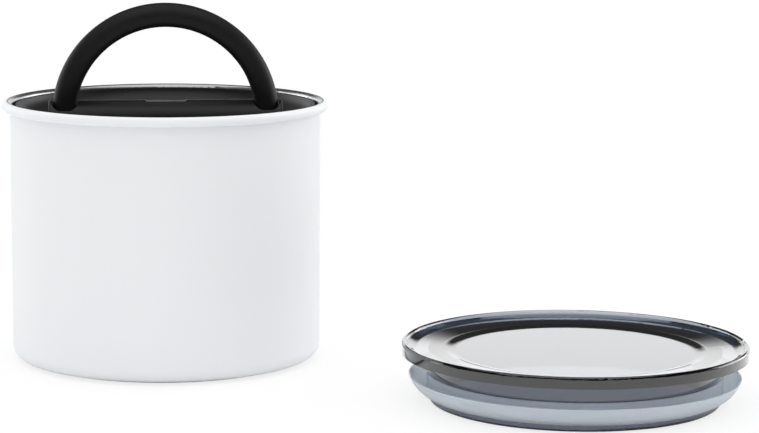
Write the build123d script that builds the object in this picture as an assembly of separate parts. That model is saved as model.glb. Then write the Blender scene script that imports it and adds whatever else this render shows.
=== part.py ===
"""A coffee canister with a sliding inner lid, and its clear outer lid set down beside it.

Millimetres. The origin is the centre of the canister's foot, on the surface that it stands on.
+Z points up and +X runs along the handle's hinge. The handle stands up, which holds the valve open.
"""
from build123d import *
import math
import os

# Canister: one drawn steel wall, rolled out at the rim and turned in at the foot
height = 101.6
body_r = 60.4
steel = 0.7
bead_r = 1.9
bead_gap = 0.4
corner_r = 5.0
foot_h = 0.8
seam_in = 0.9

# Base pan: a pressed disc with a foot ring
seam_land = 0.7
foot_run = 0.8
foot_w = 1.8
raised_run = 2.6
raised_h = 2.0

# Inner lid: the moulded cover
wiper_clear = 0.3
cover_clear = 1.4
lip_drop = 1.1
lip_w = 1.0
lip_round = 0.4
cover_seat_h = 1.2
cover_seat_w = 4.3
floor_gap = 0.6
floor_t = 2.0
bowl_r = 6.6
bowl_rise = 1.0
bowl_wall_angle = 46
bowl_foot_round = 3.0
cover_wall = 2.0

# Bridge: a round-topped bar across the bowl, which carries the hinge
bridge_over = 2.4
bridge_round = 0.7
cheek_in_w = 2.2
cheek_out_w = 1.0
slot_clear = 0.5
slot_front_gap = 0.8
slot_round = 3.4
slot_edge_round = 0.2
pocket_gap = 0.3
thumb_half_x = 7.4
thumb_slope = 0.8
thumb_depth = 0.5

# Handle: a half ring of flat bar with a cam at each foot
pivot_drop = 8.0
arc_drop = 6.4
handle_fold_gap = 1.45
handle_band = 9.2
handle_depth = 11.2
handle_out_flat = 0.3
handle_in_round = 2.6
handle_bend_r = 20.6
handle_bend_angle = 9
cam_lift = 1.2
cam_w = 5.0
cam_shift = 2.3

# Hinge: a steel pin through each foot of the handle
pin_r = 1.5
pin_hole_clear = 0.03
pin_run_clear = 0.06
pin_sink = 0.4

# Inner lid: the base plate, and the rubber wiper that it clamps
base_t = 2.5
base_edge_clear = 2.2
base_edge_round = 0.8
wiper_h = 8.5
wiper_w = 2.9
wiper_lip_t = 1.0
wiper_lip_drop = 2.6
wiper_lip_gap = 3.6
wiper_top_land = 0.6
spigot_w = 2.0
fit_clear = 0.1
spigot_gap = 0.3

# Screws that hold the plate to the cover
post_gap = 2.5
screw_count = 4
screw_first_angle = 45
post_r = 3.4
screw_r = 1.3
screw_head_r = 2.7
screw_head_h = 1.3
screw_reach = 6.5
screw_slot_w = 0.7
screw_slot_h = 0.5
pilot_extra = 1.0

# Valve: port holes round a guide, a plug below them, and the bar that the cams press
port_hole_r = 1.3
port_gap = 0.25
port_count = 8
stem_r = 2.0
stem_run_clear = 0.06
guide_wall = 1.3
guide_h = 2.2
seal_port_gap = 0.3
seal_w = 1.8
seal_h = 1.2
seal_sink = 0.5
seal_closed_gap = 0.05
plug_rim = 0.4
plug_t = 2.0
cam_gap = 0.15
bar_h = 3.0
bar_w = 7.0
bar_top_gap = 0.4
bar_end_gap = 0.8
tip_w = 2.0
tip_len = 6.0
boss_rim = 2.3
boss_h = 1.6
clip_w = 2.2
clip_t = 0.8
clip_mouth_w = 2.6
groove_depth = 0.5
stem_head = 0.7
spring_wire_r = 0.35
spring_guide_gap = 0.9
spring_turns = 2.5
spring_seat_gap = 0.05

# Valve cage: a slotted cup under the port
cage_plug_gap = 0.9
cage_wall = 1.2
cage_depth = 6.4
cage_floor_t = 1.2
cage_flange_w = 2.6
cage_flange_t = 1.2
cage_window_count = 8
cage_window_w = 4.2
cage_window_h = 2.6
cage_hole_r = 1.5
cage_hole_in = 5.2
cage_round = 0.8

# Outer lid: a clear moulding with a flange that sits on the rim
lid_x = 146.8
lid_y = -92.8
lid_h = 21.6
flange_over = 0.2
flange_h = 4.2
flange_bead_r = 1.0
bead_slope = 2.6
bead_foot_round = 0.5
shelf_drop = 2.2
shelf_slope = 0.7
shelf_round = 5.0
shelf_in = 4.8
dish_step = 5.2
dish_drop = 3.5
lid_t = 2.0
neck_gap = 5.7
neck_wall = 3.2
ring_step = 0.6
ring_h = 2.4
gasket_groove = 1.8
groove_h = 8.2
lid_foot_round = 0.7

# Outer gasket: a flared lip on a band that sits in the neck's groove
gasket_band_out = 0.4
gasket_squeeze = 1.3
gasket_lip_t = 0.7
gasket_root_t = 1.6
gasket_lip_z = 9.6
gasket_bow = 0.8

# One overrun serves every cut
over = 1.0

# Sizes that follow from those above: the canister
wall_in_r = body_r - steel
rim_r = wall_in_r + 2 * bead_r
seam_r = body_r - corner_r - seam_in
foot_outer_r = seam_r - seam_land - foot_run
foot_inner_r = foot_outer_r - foot_w
raised_r = foot_inner_r - raised_run

# The cover and its bowl: a lip, a round inner edge, a sloping wall and the floor
cover_r = wall_in_r - cover_clear
lip_in_r = cover_r - lip_w
lip_z = height - lip_drop
pivot_z = height - pivot_drop
hub_r = handle_depth / 2
lobe_r = hub_r + cam_lift
nose_r = lobe_r - cam_shift
floor_z = pivot_z - hub_r - floor_gap
floor_low_z = floor_z - floor_t
cover_low_z = floor_low_z - cover_seat_h
bowl_centre = (lip_in_r - math.sqrt(bowl_r**2 - bowl_rise**2), lip_z + bowl_rise)
bowl_tilt = math.radians(bowl_wall_angle)
bowl_wall_r = bowl_centre[0] + bowl_r * math.cos(bowl_tilt)
bowl_wall_z = bowl_centre[1] - bowl_r * math.sin(bowl_tilt)
bowl_floor_r = bowl_wall_r - (bowl_wall_z - floor_z) * math.tan(bowl_tilt)

# The handle, which folds into the bowl
arc_z = height - arc_drop
handle_outer_r = bowl_floor_r - handle_fold_gap
handle_r = handle_outer_r - handle_band / 2
bend_reach = handle_r - handle_bend_r
leg_x = bend_reach * math.cos(math.radians(handle_bend_angle)) + handle_bend_r
leg_top_z = arc_z + bend_reach * math.sin(math.radians(handle_bend_angle))
leg_in_x = leg_x - handle_band / 2
leg_out_x = leg_x + handle_band / 2

# The bridge and its slots
bridge_r = hub_r + bridge_over
bridge_z = pivot_z + bridge_r
slot_in_x = leg_in_x - slot_clear
slot_out_x = leg_out_x + slot_clear
slot_mid_x = (slot_in_x + slot_out_x) / 2
slot_front_y = -(hub_r + slot_front_gap)
pocket_r = lobe_r + pocket_gap
bridge_in_x = slot_in_x - cheek_in_w
bridge_half_x = slot_out_x + cheek_out_w

# The plate, the wiper and the screws
base_z = cover_low_z - wiper_h
base_low_z = base_z - base_t
wiper_bore_r = cover_r - cover_seat_w
spigot_r = wiper_bore_r - fit_clear
screw_ring_r = spigot_r - spigot_w - post_gap - post_r

# The valve, from its stem outward and from its cams downward
stem_hole_r = stem_r + stem_run_clear
spring_mean_r = stem_hole_r + guide_wall + spring_guide_gap + spring_wire_r
port_ring_r = spring_mean_r + spring_wire_r + port_gap + port_hole_r
seal_in_r = port_ring_r + port_hole_r + seal_port_gap
seal_out_r = seal_in_r + seal_w
plug_r = seal_out_r + plug_rim
clip_out_r = stem_r + clip_w
boss_r = clip_out_r + boss_rim
cage_in_r = plug_r + cage_plug_gap
cage_hole_ring_r = cage_in_r - cage_hole_in
seal_z = base_low_z - cam_lift - seal_closed_gap
bar_z = floor_low_z - cam_lift - bar_top_gap
bar_low_z = bar_z - bar_h
tip_z = pivot_z - lobe_r - cam_gap
boss_z = bar_low_z + boss_h

# The outer lid, which fits the canister's mouth and rim
flange_r = rim_r + flange_over
flange_z = lid_h - flange_h
neck_r = wall_in_r - neck_gap
neck_bore_r = neck_r - neck_wall
ring_r = neck_r - ring_step
groove_r = neck_r - gasket_groove
shelf_in_r = neck_r - shelf_in
dish_r = shelf_in_r - dish_step
gasket_band_r = neck_r + gasket_band_out
gasket_lip_r = wall_in_r + gasket_squeeze

os.makedirs("parts", exist_ok=True)


def turned(outline):
    """A solid of revolution about the vertical axis, from a closed outline in radius and height."""
    return revolve(Plane.XZ * make_face(outline), Axis.Z)


def tube(outer_r, inner_r, low, high):
    """An upright tube."""
    return turned(Polyline((inner_r, low), (outer_r, low), (outer_r, high), (inner_r, high), close=True))


def rod(r, low, high, x=0, y=0):
    """An upright round rod."""
    return Pos(x, y, (low + high) / 2) * Cylinder(r, high - low)


def block(low, high):
    """A box between two corners."""
    sides = [b - a for a, b in zip(low, high)]
    middle = [(a + b) / 2 for a, b in zip(low, high)]
    return Pos(*middle) * Box(*sides)


def cross_rod(r, low_x, high_x):
    """A round rod on the hinge axis."""
    return Pos((low_x + high_x) / 2, 0, pivot_z) * Rot(Y=90) * Cylinder(r, high_x - low_x)


def around(ring_r, count, first_angle=0):
    """Places round the vertical axis."""
    return PolarLocations(ring_r, count, start_angle=first_angle)


def both_sides(shape):
    """The shape and its mirror image across the hinge's middle."""
    return shape + mirror(shape, Plane.YZ)


def bowed(a, b, bow):
    """The middle of a line between two points, moved out and down by the bow."""
    return ((a[0] + b[0]) / 2 + bow, (a[1] + b[1]) / 2 - bow)


def export(name, shape):
    """Write one node, and print what it holds."""
    export_step(shape, f"parts/{name}.step")
    print(f"{name}: {len(shape.solids())} solid(s), {shape.volume:.1f} mm3")


def canister_shell():
    """The wall, the rim that rolls outward and back to the wall, and the turned-in foot corner."""
    centre = (rim_r - bead_r, height - bead_r)
    bead_in_r = bead_r - steel
    end_reach = centre[0] - body_r - bead_gap
    sweep = 180 + 90 + math.degrees(math.asin(end_reach / bead_r))
    end = math.radians(180 - sweep)
    end_in = (centre[0] + bead_in_r * math.cos(end), centre[1] + bead_in_r * math.sin(end))
    end_out = (centre[0] + bead_r * math.cos(end), centre[1] + bead_r * math.sin(end))
    corner = (body_r - corner_r, foot_h + corner_r)
    outline = Line((body_r, corner[1]), (body_r, centre[1]))
    outline += CenterArc(centre, bead_in_r, 180, -sweep)
    outline += Line(end_in, end_out)
    outline += CenterArc(centre, bead_r, 180 - sweep, sweep)
    outline += Line((wall_in_r, centre[1]), (wall_in_r, corner[1]))
    outline += CenterArc(corner, corner_r - steel, 0, -90)
    outline += Polyline(
        (corner[0], foot_h + steel),
        (seam_r, foot_h + steel),
        (seam_r, foot_h),
        (corner[0], foot_h),
    )
    outline += CenterArc(corner, corner_r, -90, 90)
    return turned(outline)


def base_pan():
    """The pressed bottom, butted to the shell's turned-in edge, with a foot ring and a raised middle."""
    path = Polyline(
        (seam_r, foot_h),
        (seam_r - seam_land, foot_h),
        (foot_outer_r, 0),
        (foot_inner_r, 0),
        (raised_r, raised_h),
        (0, raised_h),
    )
    return turned(offset(path, steel, kind=Kind.INTERSECTION, side=Side.RIGHT))


def bridge_outline(r, low):
    """The closed section of the bridge: a half round on the hinge axis over upright sides."""
    outline = ThreePointArc((-r, pivot_z), (0, pivot_z + r), (r, pivot_z))
    outline += Polyline((r, pivot_z), (r, low), (-r, low), (-r, pivot_z))
    return Plane.YZ * make_face(outline)


def hinge_slot(back_y):
    """The right-hand slot for the handle's foot: round front corners, open back, pocket for the cam."""
    low = floor_low_z - over
    middle = Pos(slot_mid_x, (back_y + slot_front_y) / 2, low)
    shape = middle * extrude(Rectangle(slot_out_x - slot_in_x, back_y - slot_front_y), bridge_z + over - low)
    shape = fillet(shape.edges().filter_by(Axis.Z).group_by(Axis.Y)[0], slot_round)
    shape += cross_rod(pocket_r, slot_in_x, slot_out_x)
    return shape + block((slot_in_x, -pocket_r, low), (slot_out_x, pocket_r, pivot_z))


def is_slot_mouth(edge):
    """True for an edge between a slot and the bridge's round top."""
    place = edge.center()
    by_slot = slot_in_x - slot_edge_round < abs(place.X) < slot_out_x + slot_edge_round
    outside = math.hypot(place.Y, place.Z - pivot_z) > (pocket_r + bridge_r) / 2
    return by_slot and outside and place.Z > pivot_z


def bridge():
    """The bar across the bowl, with its two slots open to the back and a shallow flat for the thumb."""
    shape = extrude(bridge_outline(bridge_r, floor_low_z), bridge_half_x, both=True)
    ends = shape.edges().group_by(Axis.X)
    shape = fillet([e for e in ends[0] + ends[-1] if e.center().Z > floor_z], bridge_round)
    shape -= both_sides(hinge_slot(bridge_r + over))
    shape = fillet([e for e in shape.edges() if is_slot_mouth(e)], slot_edge_round)
    thumb = Polyline(
        (-thumb_half_x - thumb_slope, bridge_z),
        (-thumb_half_x, bridge_z - thumb_depth),
        (thumb_half_x, bridge_z - thumb_depth),
        (thumb_half_x + thumb_slope, bridge_z),
        close=True,
    )
    return shape - extrude(Plane.XZ * make_face(thumb), bridge_r, both=True)


def lid_cover():
    """The moulded top of the inner lid."""
    lip_angle = -math.degrees(math.asin(bowl_rise / bowl_r))
    outline = CenterArc(bowl_centre, bowl_r, lip_angle, -bowl_wall_angle - lip_angle)
    outline += Polyline((bowl_wall_r, bowl_wall_z), (bowl_floor_r, floor_z), (0, floor_z), (0, floor_low_z))
    outline += Polyline(
        (0, floor_low_z),
        (wiper_bore_r, floor_low_z),
        (wiper_bore_r, cover_low_z),
        (cover_r, cover_low_z),
        (cover_r, lip_z),
        (lip_in_r, lip_z),
    )
    shape = turned(outline)
    rings = shape.edges().filter_by(GeomType.CIRCLE)
    shape = fillet(rings.group_by(Axis.Z)[-1], lip_round)
    foot = [e for e in shape.edges().filter_by(GeomType.CIRCLE) if abs(e.radius - bowl_floor_r) < lip_round]
    shape = fillet(foot, bowl_foot_round)
    shape -= both_sides(hinge_slot(pocket_r))
    shape += bridge()
    shape -= extrude(bridge_outline(bridge_r - cover_wall, floor_low_z - over), bridge_in_x, both=True)
    hole = cross_rod(pin_r + pin_hole_clear, bridge_in_x + pin_sink, bridge_half_x + over)
    shape -= both_sides(hole)
    pilot_top = base_z + screw_reach + pilot_extra
    for place in around(screw_ring_r, screw_count, screw_first_angle):
        x, y = place.position.X, place.position.Y
        shape += rod(post_r, base_z, floor_low_z, x, y)
        shape -= rod(screw_r + fit_clear, base_z - over, pilot_top, x, y)
    return shape


def lid_base():
    """The moulded plate under the inner lid, with the port holes and the stem's guide."""
    edge_r = wall_in_r - base_edge_clear
    shape = rod(edge_r, base_low_z, base_z)
    shape = fillet(shape.edges().group_by(Axis.Z)[0], base_edge_round)
    shape += tube(spigot_r, spigot_r - spigot_w, base_z, floor_low_z - spigot_gap)
    shape += rod(stem_hole_r + guide_wall, base_z, base_z + guide_h)
    shape -= rod(stem_hole_r, base_low_z - over, base_z + guide_h + over)
    for place in around(port_ring_r, port_count):
        shape -= rod(port_hole_r, base_low_z - over, base_z + over, place.position.X, place.position.Y)
    for place in around(screw_ring_r, screw_count, screw_first_angle):
        x, y = place.position.X, place.position.Y
        shape -= rod(screw_r + fit_clear, base_low_z - over, base_z + over, x, y)
        shape -= rod(screw_head_r + fit_clear, base_low_z - over, base_low_z + screw_head_h, x, y)
    return shape


def lid_wiper():
    """The rubber ring with two lips, which slides on the canister's wall."""
    out_r = wiper_bore_r + wiper_w
    tip_r = wall_in_r - wiper_clear
    outline_points = [(wiper_bore_r, base_z), (wiper_bore_r, cover_low_z)]
    lip_top = cover_low_z - wiper_top_land
    for _ in range(2):
        outline_points += [
            (out_r, lip_top),
            (tip_r, lip_top - wiper_lip_drop),
            (tip_r, lip_top - wiper_lip_drop - wiper_lip_t),
            (out_r, lip_top - wiper_lip_t - wiper_lip_drop / 2),
        ]
        lip_top -= wiper_lip_gap
    outline_points += [(out_r, base_z)]
    outline_points.insert(2, (out_r, cover_low_z))
    return turned(Polyline(*outline_points, close=True))


def cover_screws():
    """The screws, with slotted heads, up through the plate into the cover's posts."""
    shape = Part()
    for place in around(screw_ring_r, screw_count, screw_first_angle):
        x, y = place.position.X, place.position.Y
        screw = rod(screw_head_r, base_low_z, base_low_z + screw_head_h, x, y)
        screw += rod(screw_r, base_low_z + screw_head_h, base_z + screw_reach, x, y)
        screw -= block(
            (x - screw_head_r, y - screw_slot_w / 2, base_low_z - over),
            (x + screw_head_r, y + screw_slot_w / 2, base_low_z + screw_slot_h),
        )
        shape += screw
    return shape


def valve_cage():
    """The slotted cup that keeps beans away from the plug."""
    low = base_low_z - cage_depth
    out_r = cage_in_r + cage_wall
    shape = rod(out_r, low, base_low_z)
    shape = fillet(shape.edges().group_by(Axis.Z)[0], cage_round)
    shape += rod(out_r + cage_flange_w, base_low_z - cage_flange_t, base_low_z)
    shape -= rod(cage_in_r, low + cage_floor_t, base_low_z + over)
    window_low = low + cage_floor_t
    for place in around(0, cage_window_count):
        window = block(
            (cage_in_r - over, -cage_window_w / 2, window_low),
            (out_r + over, cage_window_w / 2, window_low + cage_window_h),
        )
        shape -= place * window
    for place in around(cage_hole_ring_r, cage_window_count):
        shape -= rod(cage_hole_r, low - over, window_low + over, place.position.X, place.position.Y)
    return shape


def valve_poppet():
    """The plug and its stem, with a groove for the clip."""
    top = boss_z + clip_t + stem_head
    shape = rod(plug_r, seal_z - plug_t, seal_z - seal_sink)
    shape -= tube(seal_out_r, seal_in_r, seal_z - seal_h, seal_z)
    shape += rod(stem_r, seal_z - plug_t, top)
    shape -= tube(stem_r + over, stem_r - groove_depth, boss_z, boss_z + clip_t)
    return shape


def valve_seal():
    """The soft ring in the plug's face."""
    return tube(seal_out_r, seal_in_r, seal_z - seal_h, seal_z)


def valve_crossbar():
    """The bar under the two cams, with a narrow tip below each and a boss on the stem."""
    end_x = slot_out_x - bar_end_gap
    shape = block((-end_x, -bar_w / 2, bar_low_z), (end_x, bar_w / 2, bar_z))
    shape -= rod(boss_r + over, boss_z, bar_z + over)
    shape += rod(boss_r, bar_low_z, boss_z)
    tip = block(
        (slot_mid_x - tip_len / 2, -tip_w / 2, bar_z),
        (slot_mid_x + tip_len / 2, tip_w / 2, tip_z - tip_w / 2),
    )
    tip += Pos(slot_mid_x, 0, tip_z - tip_w / 2) * Rot(Y=90) * Cylinder(tip_w / 2, tip_len)
    shape += both_sides(tip)
    shape -= rod(stem_hole_r, bar_low_z - over, bar_z + over)
    return shape


def stem_clip():
    """The open clip in the stem's groove."""
    shape = tube(clip_out_r, stem_r - groove_depth, boss_z, boss_z + clip_t)
    shape -= block(
        (0, -clip_mouth_w / 2, boss_z - over),
        (clip_out_r + over, clip_mouth_w / 2, boss_z + clip_t + over),
    )
    return shape


def valve_spring():
    """The coil between the plate and the crossbar."""
    low = base_z + spring_wire_r + spring_seat_gap
    high = bar_low_z - spring_wire_r - spring_seat_gap
    path = Pos(0, 0, low) * Helix(pitch=(high - low) / spring_turns, height=high - low, radius=spring_mean_r)
    section = Plane(origin=path @ 0, z_dir=path % 0) * Circle(spring_wire_r)
    return sweep(section, path=path, is_frenet=True)


def handle_section():
    """The handle's section about its own middle, well rounded on its outer side, which is +X."""
    section = Rectangle(handle_band, handle_depth)
    section = fillet(section.vertices().group_by(Axis.X)[-1], hub_r - handle_out_flat)
    return fillet(section.vertices().group_by(Axis.X)[0], handle_in_round)


def bail_handle():
    """The half ring of flat bar, turned round at each foot, with a cam nose under it."""
    bend = (leg_x - handle_bend_r, leg_top_z)
    path = Line((leg_x, pivot_z), (leg_x, leg_top_z))
    path += CenterArc(bend, handle_bend_r, 0, handle_bend_angle)
    path += CenterArc((0, arc_z), handle_r, handle_bend_angle, 180 - 2 * handle_bend_angle)
    path += CenterArc((-bend[0], bend[1]), handle_bend_r, 180 - handle_bend_angle, handle_bend_angle)
    path += Line((-leg_x, leg_top_z), (-leg_x, pivot_z))
    section = Pos(leg_x, 0, pivot_z) * handle_section()
    shape = sweep(section, path=Plane.XZ * path)
    half = section & Pos(leg_x, hub_r / 2, pivot_z) * Rectangle(handle_band, hub_r)
    foot = revolve(half, Axis((0, 0, pivot_z), (-1, 0, 0)), 180)
    foot += Pos(leg_x, 0, pivot_z + nose_r - lobe_r) * Rot(Y=90) * Cylinder(nose_r, cam_w)
    shape += both_sides(foot)
    hole = cross_rod(pin_r + pin_run_clear, leg_in_x - over, leg_out_x + over)
    return shape - both_sides(hole)


def hinge_pin(side):
    """One steel pin; side is +1 on the right and -1 on the left."""
    pin = cross_rod(pin_r, bridge_in_x + pin_sink, bridge_half_x - pin_sink)
    return pin if side > 0 else mirror(pin, Plane.YZ)


def outer_lid():
    """The clear moulding: rim bead, sloping shelf, step down to the dish, and the neck below."""
    bead_in_r = flange_r - 2 * flange_bead_r
    shelf_out_r = bead_in_r - bead_slope
    shelf_out_z = lid_h - shelf_drop
    shelf_in_z = shelf_out_z - shelf_slope
    dish_z = lid_h - dish_drop
    step_mid = ((shelf_in_r + dish_r) / 2, (shelf_in_z + dish_z) / 2)
    bead_z = lid_h - flange_bead_r
    outline = Polyline((0, dish_z - lid_t), (0, dish_z), (dish_r, dish_z))
    outline += TangentArc((dish_r, dish_z), step_mid, tangent=(1, 0))
    outline += TangentArc((shelf_in_r, shelf_in_z), step_mid, tangent=(-1, 0))
    outline += Polyline((shelf_in_r, shelf_in_z), (shelf_out_r, shelf_out_z), (bead_in_r, bead_z))
    outline += CenterArc((flange_r - flange_bead_r, bead_z), flange_bead_r, 0, 180)
    outline += Polyline(
        (flange_r, bead_z),
        (flange_r, flange_z),
        (neck_r, flange_z),
        (neck_r, ring_h + groove_h),
        (groove_r, ring_h + groove_h),
        (groove_r, ring_h),
        (ring_r, ring_h),
        (ring_r, 0),
        (neck_bore_r, 0),
        (neck_bore_r, dish_z - lid_t),
        (0, dish_z - lid_t),
    )
    shape = turned(outline)
    shape = fillet(shape.edges().filter_by(GeomType.CIRCLE).group_by(Axis.Z)[0], lid_foot_round)
    for r, round_r in ((shelf_out_r, shelf_round), (bead_in_r, bead_foot_round)):
        rings = shape.edges().filter_by(GeomType.CIRCLE)
        shape = fillet([e for e in rings if abs(e.radius - r) < fit_clear], round_r)
    return Pos(lid_x, lid_y, 0) * shape


def outer_lid_gasket():
    """The band in the neck's groove, with a lip that flares up and out."""
    band_low = ring_h + fit_clear
    band_high = ring_h + groove_h - fit_clear
    band_in_r = groove_r + fit_clear
    low = (gasket_band_r, band_low)
    tip = (gasket_lip_r, gasket_lip_z)
    inner_tip = (gasket_lip_r - gasket_lip_t, gasket_lip_z)
    root = (gasket_band_r, band_low + gasket_root_t)
    outline = Polyline((band_in_r, band_low), low)
    outline += ThreePointArc(low, bowed(low, tip, gasket_bow), tip)
    outline += Line(tip, inner_tip)
    outline += ThreePointArc(inner_tip, bowed(inner_tip, root, gasket_bow), root)
    outline += Polyline(root, (gasket_band_r, band_high), (band_in_r, band_high), (band_in_r, band_low))
    return Pos(lid_x, lid_y, 0) * turned(outline)


export("canister_shell", canister_shell())
export("base_pan", base_pan())
export("lid_cover", lid_cover())
export("lid_base", lid_base())
export("lid_wiper", lid_wiper())
export("cover_screws", cover_screws())
export("valve_cage", valve_cage())
export("valve_poppet", valve_poppet())
export("valve_seal", valve_seal())
export("valve_crossbar", valve_crossbar())
export("stem_clip", stem_clip())
export("valve_spring", valve_spring())
export("bail_handle", bail_handle())
export("hinge_pin_left", hinge_pin(-1))
export("hinge_pin_right", hinge_pin(1))
export("outer_lid", outer_lid())
export("outer_lid_gasket", outer_lid_gasket())
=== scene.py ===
"""The looks of the coffee canister: finishes, floor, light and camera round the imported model, in metres."""
import math

import bpy
from mathutils import Matrix, Vector

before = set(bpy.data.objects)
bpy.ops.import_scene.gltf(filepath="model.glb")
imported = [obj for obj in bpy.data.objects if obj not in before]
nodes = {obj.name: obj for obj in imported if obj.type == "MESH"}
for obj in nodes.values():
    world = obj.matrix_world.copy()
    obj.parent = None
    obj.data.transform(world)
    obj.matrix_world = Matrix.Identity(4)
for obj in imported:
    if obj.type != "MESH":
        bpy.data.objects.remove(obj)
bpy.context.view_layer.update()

# The camera, as fitted to the photograph's 759 by 433 frame; angles in radians
FRAME_W = 759
FOCAL_PX = 2681.4
SENSOR = 36.0
CAM_DISTANCE = 1.0463
CAM_HEIGHT = 0.2149
CAM_BEARING = -0.0283
CAM_YAW = 0.1085
CAM_PITCH = 0.1513
CAM_ROLL = 0.0064
CAM_CLIP = (0.05, 50.0)

# The world: its level for matte surfaces, its levels for gloss, and where those two meet
WORLD_WHITE = (1, 1, 1, 1)
WORLD_LEVEL = 0.755
GLOSS_LEVELS = (0.05, 1.2)
HORIZON_HIGH = (0.20, 0.27)
HORIZON_FRONT = (0.05, 0.30)

# The floor: its disc, its finish, and how much it glows near the object and where that ends
FLOOR_R = 4.0
FLOOR_SIDES = 96
FLOOR_Z = -0.0002
FLOOR_WHITE = (0.93, 0.93, 0.93, 1)
FLOOR_ROUGH = 0.9
FLOOR_GLOW = 0.78
FLOOR_SHINE = 0.05
FLOOR_MIDDLE = (0.08, -0.05, 0.0)
FLOOR_FADE = (0.16, 0.45)

# Softboxes: place, target, width and height, radiance
SOFTBOXES = {
    "lamp_top": ((0.0, -0.25, 1.50), (0.05, -0.02, 0.06), (1.9, 2.1), 0.95),
    "lamp_left": ((-1.18, 0.92, 0.45), (0.0, 0.0, 0.10), (1.2, 0.8), 1.3),
    "lamp_right": ((1.44, 0.58, 0.45), (0.0, 0.0, 0.10), (1.2, 0.8), 2.1),
}

# Where the shell's coat ends: the middle of its wall, its foot corner and its rim; and the width of the
# painted dark reflection line just inside the rim's coat edge
WALL_MID_R = 0.06005
CORNER_R = 0.0554
CORNER_Z = 0.0058
RIM_EDGE_SHIFT = 0.00165
RIM_EDGE_Z = (0.0985, 0.1005)
RIM_REFLECTION_WIDTH = 0.00055
COAT_EDGE = 0.00004

# Colours
WHITE = (0.835, 0.850, 0.868, 1)
STEEL = (0.62, 0.62, 0.63, 1)
STEEL_DARK = (0.50, 0.50, 0.51, 1)
# Painted dark reflection: the rim's bare steel just inside the coat's edge is coloured nearly black
STEEL_PAINTED_REFLECTION = (0.055, 0.055, 0.060, 1)
BLACK = (0.0050, 0.0050, 0.0056, 1)
BLACK_PALE = (0.0075, 0.0075, 0.0084, 1)
RUBBER = (0.014, 0.014, 0.015, 1)
RUBBER_PALE = (0.018, 0.018, 0.019, 1)
SMOKE = (0.30, 0.36, 0.46, 1)
# Painted shade: a darker base colour for the lid's neck below the flange
NECK_PAINTED_SHADE = (0.20, 0.22, 0.28, 1)
CLEAR = (1, 1, 1, 1)
SILICONE = (0.86, 0.92, 0.98, 1)
SILICONE_PALE = (0.90, 0.95, 1.0, 1)

# Clear parts: how light bends, how deep the smoke tint is, and where the neck's painted shade ends
SMOKE_IOR = 1.5
POLISH_IOR = 1.6
SMOKE_DENSITY = 520.0
NECK_EDGE_Z = (0.0157, 0.0160)
SILICONE_IOR = 1.41
SILICONE_CLEAR = 0.60

# Patterns: scale and detail of each noise, and how much the spin lines change across the piece
SPIN_LINES = (3500.0, 3.0)
SPIN_CHANGE = 0.02
COAT_GRAIN = (1500.0, 3.0)
HARDWARE_GRAIN = (2400.0, 3.0)
MOULD_GRAIN = (4200.0, 2.0)
MOULD_DRIFT = (90.0, 2.0)
SMOKE_DRIFT = (45.0, 1.0)
SILICONE_CLOUD = (160.0, 2.0)
SILICONE_SKIN = (2600.0, 2.0)

# Roughness at the low and the high end of a pattern
COAT_ROUGH = (0.50, 0.66)
SHELL_ROUGH = (0.20, 0.36)
PAN_ROUGH = (0.22, 0.38)
HARDWARE_ROUGH = (0.18, 0.34)
SMOKE_ROUGH = (0.015, 0.035)
SILICONE_ROUGH = (0.34, 0.46)

# Relief of a pattern; the shell's bare side has a share of its coat's
COAT_RELIEF = 0.00003
BARE_SHARE = 0.15
PAN_RELIEF = 0.000006
HARDWARE_RELIEF = 0.000008
SMOKE_RELIEF = 0.00002
SILICONE_RELIEF = 0.00001

# Black mouldings: two colours, roughness, relief, specular level
MOULDINGS = {
    "black_plastic": (BLACK, BLACK_PALE, (0.40, 0.48), 0.00001, 0.5),
    "black_satin": (BLACK, BLACK_PALE, (0.50, 0.58), 0.000014, 0.32),
    "black_rubber": (RUBBER, RUBBER_PALE, (0.55, 0.70), 0.00002, 0.5),
}
MOULDED = {
    "black_plastic": ["lid_cover", "lid_base", "valve_cage", "valve_poppet", "valve_crossbar"],
    "black_satin": ["bail_handle"],
    "black_rubber": ["lid_wiper", "valve_seal"],
}
HARDWARE = ["cover_screws", "stem_clip", "valve_spring", "hinge_pin_left", "hinge_pin_right"]

# The colour sockets of a Mix node, by number, because several of its sockets share a name
MIX_A = 6
MIX_B = 7
MIX_RESULT = 2


def material(name):
    """A new node material and its shader."""
    made = bpy.data.materials.new(name)
    made.use_nodes = True
    return made, made.node_tree, made.node_tree.nodes["Principled BSDF"]


def settings(shader, **values):
    """Fill in a shader's unlinked sockets."""
    for key, value in values.items():
        shader.inputs[key.replace("_", " ")].default_value = value


def fill(tree, socket, value):
    """Link a socket to an output, or set it to a number or a colour."""
    if isinstance(value, bpy.types.NodeSocket):
        tree.links.new(value, socket)
    else:
        socket.default_value = value


def math_node(tree, operation, *values):
    """A Math node on sockets or numbers; gives its output."""
    made = tree.nodes.new("ShaderNodeMath")
    made.operation = operation
    for socket, value in zip(made.inputs, values):
        fill(tree, socket, value)
    return made.outputs[0]


def step(tree, value, span):
    """0 below the span and 1 above it, smooth between."""
    made = tree.nodes.new("ShaderNodeMapRange")
    made.interpolation_type = "SMOOTHSTEP"
    made.inputs["From Min"].default_value, made.inputs["From Max"].default_value = span
    tree.links.new(value, made.inputs["Value"])
    return made.outputs["Result"]


def rescaled(tree, value, low, high):
    """A 0 to 1 value spread between two others."""
    made = tree.nodes.new("ShaderNodeMapRange")
    made.inputs["To Min"].default_value = low
    made.inputs["To Max"].default_value = high
    tree.links.new(value, made.inputs["Value"])
    return made.outputs["Result"]


def blended(tree, share, a, b):
    """Two colours or sockets mixed by a share."""
    made = tree.nodes.new("ShaderNodeMix")
    made.data_type = "RGBA"
    tree.links.new(share, made.inputs["Factor"])
    fill(tree, made.inputs[MIX_A], a)
    fill(tree, made.inputs[MIX_B], b)
    return made.outputs[MIX_RESULT]


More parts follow.
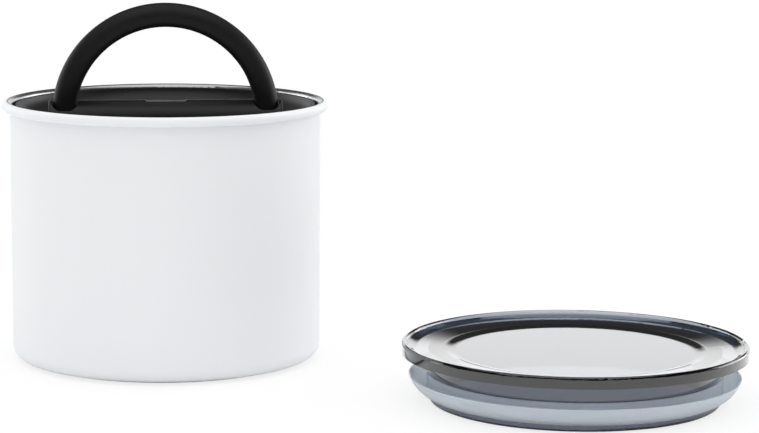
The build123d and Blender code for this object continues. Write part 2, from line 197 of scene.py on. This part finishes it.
def noise(tree, vector, scale, detail):
    """A noise's value at a vector."""
    made = tree.nodes.new("ShaderNodeTexNoise")
    made.inputs["Scale"].default_value = scale
    made.inputs["Detail"].default_value = detail
    tree.links.new(vector, made.inputs["Vector"])
    return made.outputs["Fac"]


def object_place(tree):
    """The piece's own coordinates."""
    return tree.nodes.new("ShaderNodeTexCoord").outputs["Object"]


def parted(tree, vector):
    """The x, y and z of a vector."""
    made = tree.nodes.new("ShaderNodeSeparateXYZ")
    tree.links.new(vector, made.inputs[0])
    return made.outputs


def ray_kinds(tree):
    """Whether a ray sees a thing directly or through clear parts, and whether gloss mirrors it."""
    ray = tree.nodes.new("ShaderNodeLightPath").outputs
    return math_node(tree, "MAXIMUM", ray["Is Camera Ray"], ray["Is Transmission Ray"]), ray["Is Glossy Ray"]


def bumped(tree, shader, height, distance):
    """Raise the surface by a height; the distance is in metres."""
    made = tree.nodes.new("ShaderNodeBump")
    made.inputs["Strength"].default_value = 1.0
    made.inputs["Distance"].default_value = distance
    tree.links.new(height, made.inputs["Height"])
    tree.links.new(made.outputs["Normal"], shader.inputs["Normal"])


def spin_lines(tree, place):
    """Fine lines round the vertical axis, as a lathe or a press leaves, with the radius and the height."""
    x, y, z = parted(tree, place)
    across = math_node(tree, "ADD", math_node(tree, "MULTIPLY", x, x), math_node(tree, "MULTIPLY", y, y))
    r = math_node(tree, "SQRT", across)
    joined = tree.nodes.new("ShaderNodeCombineXYZ")
    for socket, value in zip(joined.inputs, (r, z, math_node(tree, "MULTIPLY", x, SPIN_CHANGE))):
        tree.links.new(value, socket)
    return noise(tree, joined.outputs[0], *SPIN_LINES), r, z


def canister_finish():
    """White powder coat outside, bare drawn steel inside and on the inner side of the rim, with a painted
    dark reflection line on the rim's bare steel just inside the coat.
    """
    made, tree, shader = material("white_coat")
    place = object_place(tree)
    lines, r, z = spin_lines(tree, place)
    past_corner = math_node(tree, "MAXIMUM", math_node(tree, "SUBTRACT", r, CORNER_R), 0.0)
    below_corner = math_node(tree, "MAXIMUM", math_node(tree, "SUBTRACT", CORNER_Z, z), 0.0)
    squares = [math_node(tree, "MULTIPLY", v, v) for v in (past_corner, below_corner)]
    reach = math_node(tree, "SQRT", math_node(tree, "ADD", *squares))
    on_rim = step(tree, z, RIM_EDGE_Z)
    shift = math_node(tree, "MULTIPLY", on_rim, RIM_EDGE_SHIFT)
    outside = math_node(tree, "SUBTRACT", math_node(tree, "SUBTRACT", reach, WALL_MID_R - CORNER_R), shift)
    coat = step(tree, outside, (-COAT_EDGE, COAT_EDGE))
    uncoated = math_node(tree, "SUBTRACT", 1.0, coat)
    grain = noise(tree, place, *COAT_GRAIN)
    bare = blended(tree, lines, STEEL_DARK, STEEL)
    # Painted dark reflection: a thin band of the rim's bare steel next to the coat is darkened
    painted_reflection_band = step(tree, outside, (-RIM_REFLECTION_WIDTH - COAT_EDGE, COAT_EDGE - RIM_REFLECTION_WIDTH))
    bare = blended(tree, math_node(tree, "MULTIPLY", painted_reflection_band, on_rim), bare, STEEL_PAINTED_REFLECTION)
    tree.links.new(blended(tree, coat, bare, WHITE), shader.inputs["Base Color"])
    tree.links.new(uncoated, shader.inputs["Metallic"])
    rough_coat = math_node(tree, "MULTIPLY", rescaled(tree, grain, *COAT_ROUGH), coat)
    rough_bare = math_node(tree, "MULTIPLY", rescaled(tree, lines, *SHELL_ROUGH), uncoated)
    tree.links.new(math_node(tree, "ADD", rough_coat, rough_bare), shader.inputs["Roughness"])
    coat_height = math_node(tree, "MULTIPLY", grain, coat)
    bare_height = math_node(tree, "MULTIPLY", lines, BARE_SHARE)
    bumped(tree, shader, math_node(tree, "ADD", coat_height, bare_height), COAT_RELIEF)
    return made


def steel_look(tree, shader, pattern, rough, relief):
    """Bare steel whose shade, gloss and relief follow a pattern."""
    tree.links.new(blended(tree, pattern, STEEL_DARK, STEEL), shader.inputs["Base Color"])
    tree.links.new(rescaled(tree, pattern, *rough), shader.inputs["Roughness"])
    settings(shader, Metallic=1.0)
    bumped(tree, shader, pattern, relief)


def bare_steel():
    """Bare pressed steel with fine spin lines."""
    made, tree, shader = material("bare_steel")
    lines, _, _ = spin_lines(tree, object_place(tree))
    steel_look(tree, shader, lines, PAN_ROUGH, PAN_RELIEF)
    return made


def hardware_steel():
    """Plain drawn steel of the pins, screws, clip and spring."""
    made, tree, shader = material("hardware_steel")
    grain = noise(tree, object_place(tree), *HARDWARE_GRAIN)
    steel_look(tree, shader, grain, HARDWARE_ROUGH, HARDWARE_RELIEF)
    return made


def black_moulding(name, dark, pale, rough, relief, specular):
    """Black moulding with a fine even grain and a slight drift in its colour and gloss."""
    made, tree, shader = material(name)
    place = object_place(tree)
    grain = noise(tree, place, *MOULD_GRAIN)
    drift = noise(tree, place, *MOULD_DRIFT)
    tree.links.new(blended(tree, drift, dark, pale), shader.inputs["Base Color"])
    tree.links.new(rescaled(tree, drift, *rough), shader.inputs["Roughness"])
    settings(shader, Specular_IOR_Level=specular)
    bumped(tree, shader, grain, relief)
    return made


def smoke():
    """Clear smoke-tinted plastic, polished, with painted shade in the neck, and the slight ripple of a
    moulding.
    """
    made, tree, shader = material("smoke_clear")
    place = object_place(tree)
    drift = noise(tree, place, *SMOKE_DRIFT)
    tree.links.new(rescaled(tree, drift, *SMOKE_ROUGH), shader.inputs["Roughness"])
    _, _, z = parted(tree, place)
    above_neck = step(tree, z, NECK_EDGE_Z)
    # Painted shade: below the neck's edge the base colour is darkened
    tree.links.new(blended(tree, above_neck, NECK_PAINTED_SHADE, CLEAR), shader.inputs["Base Color"])
    settings(shader, IOR=SMOKE_IOR, Transmission_Weight=1.0, Coat_Weight=1.0, Coat_IOR=POLISH_IOR)
    bumped(tree, shader, drift, SMOKE_RELIEF)
    tint = tree.nodes.new("ShaderNodeVolumeAbsorption")
    tint.inputs["Color"].default_value = SMOKE
    tint.inputs["Density"].default_value = SMOKE_DENSITY
    tree.links.new(tint.outputs[0], tree.nodes["Material Output"].inputs["Volume"])
    return made


def silicone():
    """Pale translucent silicone with a matte skin."""
    made, tree, shader = material("clear_silicone")
    place = object_place(tree)
    cloud = noise(tree, place, *SILICONE_CLOUD)
    tree.links.new(blended(tree, cloud, SILICONE, SILICONE_PALE), shader.inputs["Base Color"])
    tree.links.new(rescaled(tree, cloud, *SILICONE_ROUGH), shader.inputs["Roughness"])
    settings(shader, IOR=SILICONE_IOR, Transmission_Weight=SILICONE_CLEAR)
    bumped(tree, shader, noise(tree, place, *SILICONE_SKIN), SILICONE_RELIEF)
    return made


def dress(names, made):
    """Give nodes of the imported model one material."""
    for name in names:
        for slot in nodes[name].material_slots:
            slot.material = made


def make_camera():
    """The camera at the photograph's place."""
    data = bpy.data.cameras.new("camera")
    data.sensor_width = SENSOR
    data.lens = SENSOR * FOCAL_PX / FRAME_W
    data.clip_start, data.clip_end = CAM_CLIP
    camera = bpy.data.objects.new("camera", data)
    bpy.context.scene.collection.objects.link(camera)
    eye = Vector((CAM_DISTANCE * math.sin(CAM_BEARING), -CAM_DISTANCE * math.cos(CAM_BEARING), CAM_HEIGHT))
    level_ahead = Vector((math.sin(CAM_YAW), math.cos(CAM_YAW), 0))
    ahead = level_ahead * math.cos(CAM_PITCH) + Vector((0, 0, -math.sin(CAM_PITCH)))
    level = Vector((math.cos(CAM_YAW), -math.sin(CAM_YAW), 0))
    up = level.cross(ahead)
    right = level * math.cos(CAM_ROLL) + up * math.sin(CAM_ROLL)
    top = up * math.cos(CAM_ROLL) - level * math.sin(CAM_ROLL)
    turn = Matrix((right, top, -ahead)).transposed()
    camera.matrix_world = Matrix.Translation(eye) @ turn.to_4x4()
    bpy.context.scene.camera = camera


def make_world():
    """White to the eye and through clear parts; to gloss, bright only low behind the object."""
    world = bpy.data.worlds.new("studio")
    bpy.context.scene.world = world
    world.use_nodes = True
    tree = world.node_tree
    shine = tree.nodes["Background"]
    shine.inputs["Color"].default_value = WORLD_WHITE
    seen, mirrored = ray_kinds(tree)
    _, y, z = parted(tree, tree.nodes.new("ShaderNodeTexCoord").outputs["Generated"])
    low = math_node(tree, "SUBTRACT", 1.0, step(tree, z, HORIZON_HIGH))
    back = math_node(tree, "MULTIPLY", low, step(tree, y, HORIZON_FRONT))
    above_matte = math_node(tree, "SUBTRACT", rescaled(tree, back, *GLOSS_LEVELS), WORLD_LEVEL)
    level = math_node(tree, "ADD", math_node(tree, "MULTIPLY", mirrored, above_matte), WORLD_LEVEL)
    tree.links.new(math_node(tree, "MAXIMUM", seen, level), shine.inputs["Strength"])


def floor_finish():
    """White that keeps part of the object's shadow, and nearly all of it where gloss mirrors it close by."""
    made, tree, shader = material("floor")
    settings(shader, Base_Color=FLOOR_WHITE, Roughness=FLOOR_ROUGH, Specular_IOR_Level=0.0)
    seen, mirrored = ray_kinds(tree)
    away = tree.nodes.new("ShaderNodeVectorMath")
    away.operation = "DISTANCE"
    fill(tree, away.inputs[0], object_place(tree))
    fill(tree, away.inputs[1], FLOOR_MIDDLE)
    far = step(tree, away.outputs["Value"], FLOOR_FADE)
    seen_glow = math_node(tree, "MULTIPLY", seen, rescaled(tree, far, FLOOR_GLOW, 1.0))
    mirrored_glow = math_node(tree, "MULTIPLY", mirrored, rescaled(tree, far, FLOOR_SHINE, 1.0))
    share = math_node(tree, "MAXIMUM", seen_glow, mirrored_glow)
    glow = tree.nodes.new("ShaderNodeEmission")
    mix = tree.nodes.new("ShaderNodeMixShader")
    for socket, value in zip(mix.inputs, (share, shader.outputs[0], glow.outputs[0])):
        tree.links.new(value, socket)
    tree.links.new(mix.outputs[0], tree.nodes["Material Output"].inputs["Surface"])
    return made


def make_floor():
    """A wide white disc just under the object."""
    bpy.ops.mesh.primitive_circle_add(
        vertices=FLOOR_SIDES, radius=FLOOR_R, fill_type="NGON", location=(0, 0, FLOOR_Z))
    floor = bpy.context.object
    floor.name = "floor"
    floor.data.materials.append(floor_finish())


def softbox(name, place, target, size, radiance):
    """A rectangular area lamp aimed at a point."""
    width, height = size
    data = bpy.data.lights.new(name, "AREA")
    data.shape = "RECTANGLE"
    data.size, data.size_y = width, height
    data.energy = radiance * math.pi * width * height
    lamp = bpy.data.objects.new(name, data)
    bpy.context.scene.collection.objects.link(lamp)
    lamp.location = place
    lamp.rotation_mode = "QUATERNION"
    lamp.rotation_quaternion = (Vector(target) - Vector(place)).to_track_quat("-Z", "Y")


bpy.context.scene.view_settings.view_transform = "Standard"
make_camera()
make_world()
make_floor()
for box_name, box in SOFTBOXES.items():
    softbox(box_name, *box)
for look_name, look in MOULDINGS.items():
    dress(MOULDED[look_name], black_moulding(look_name, *look))
dress(["canister_shell"], canister_finish())
dress(["base_pan"], bare_steel())
dress(HARDWARE, hardware_steel())
dress(["outer_lid"], smoke())
dress(["outer_lid_gasket"], silicone())
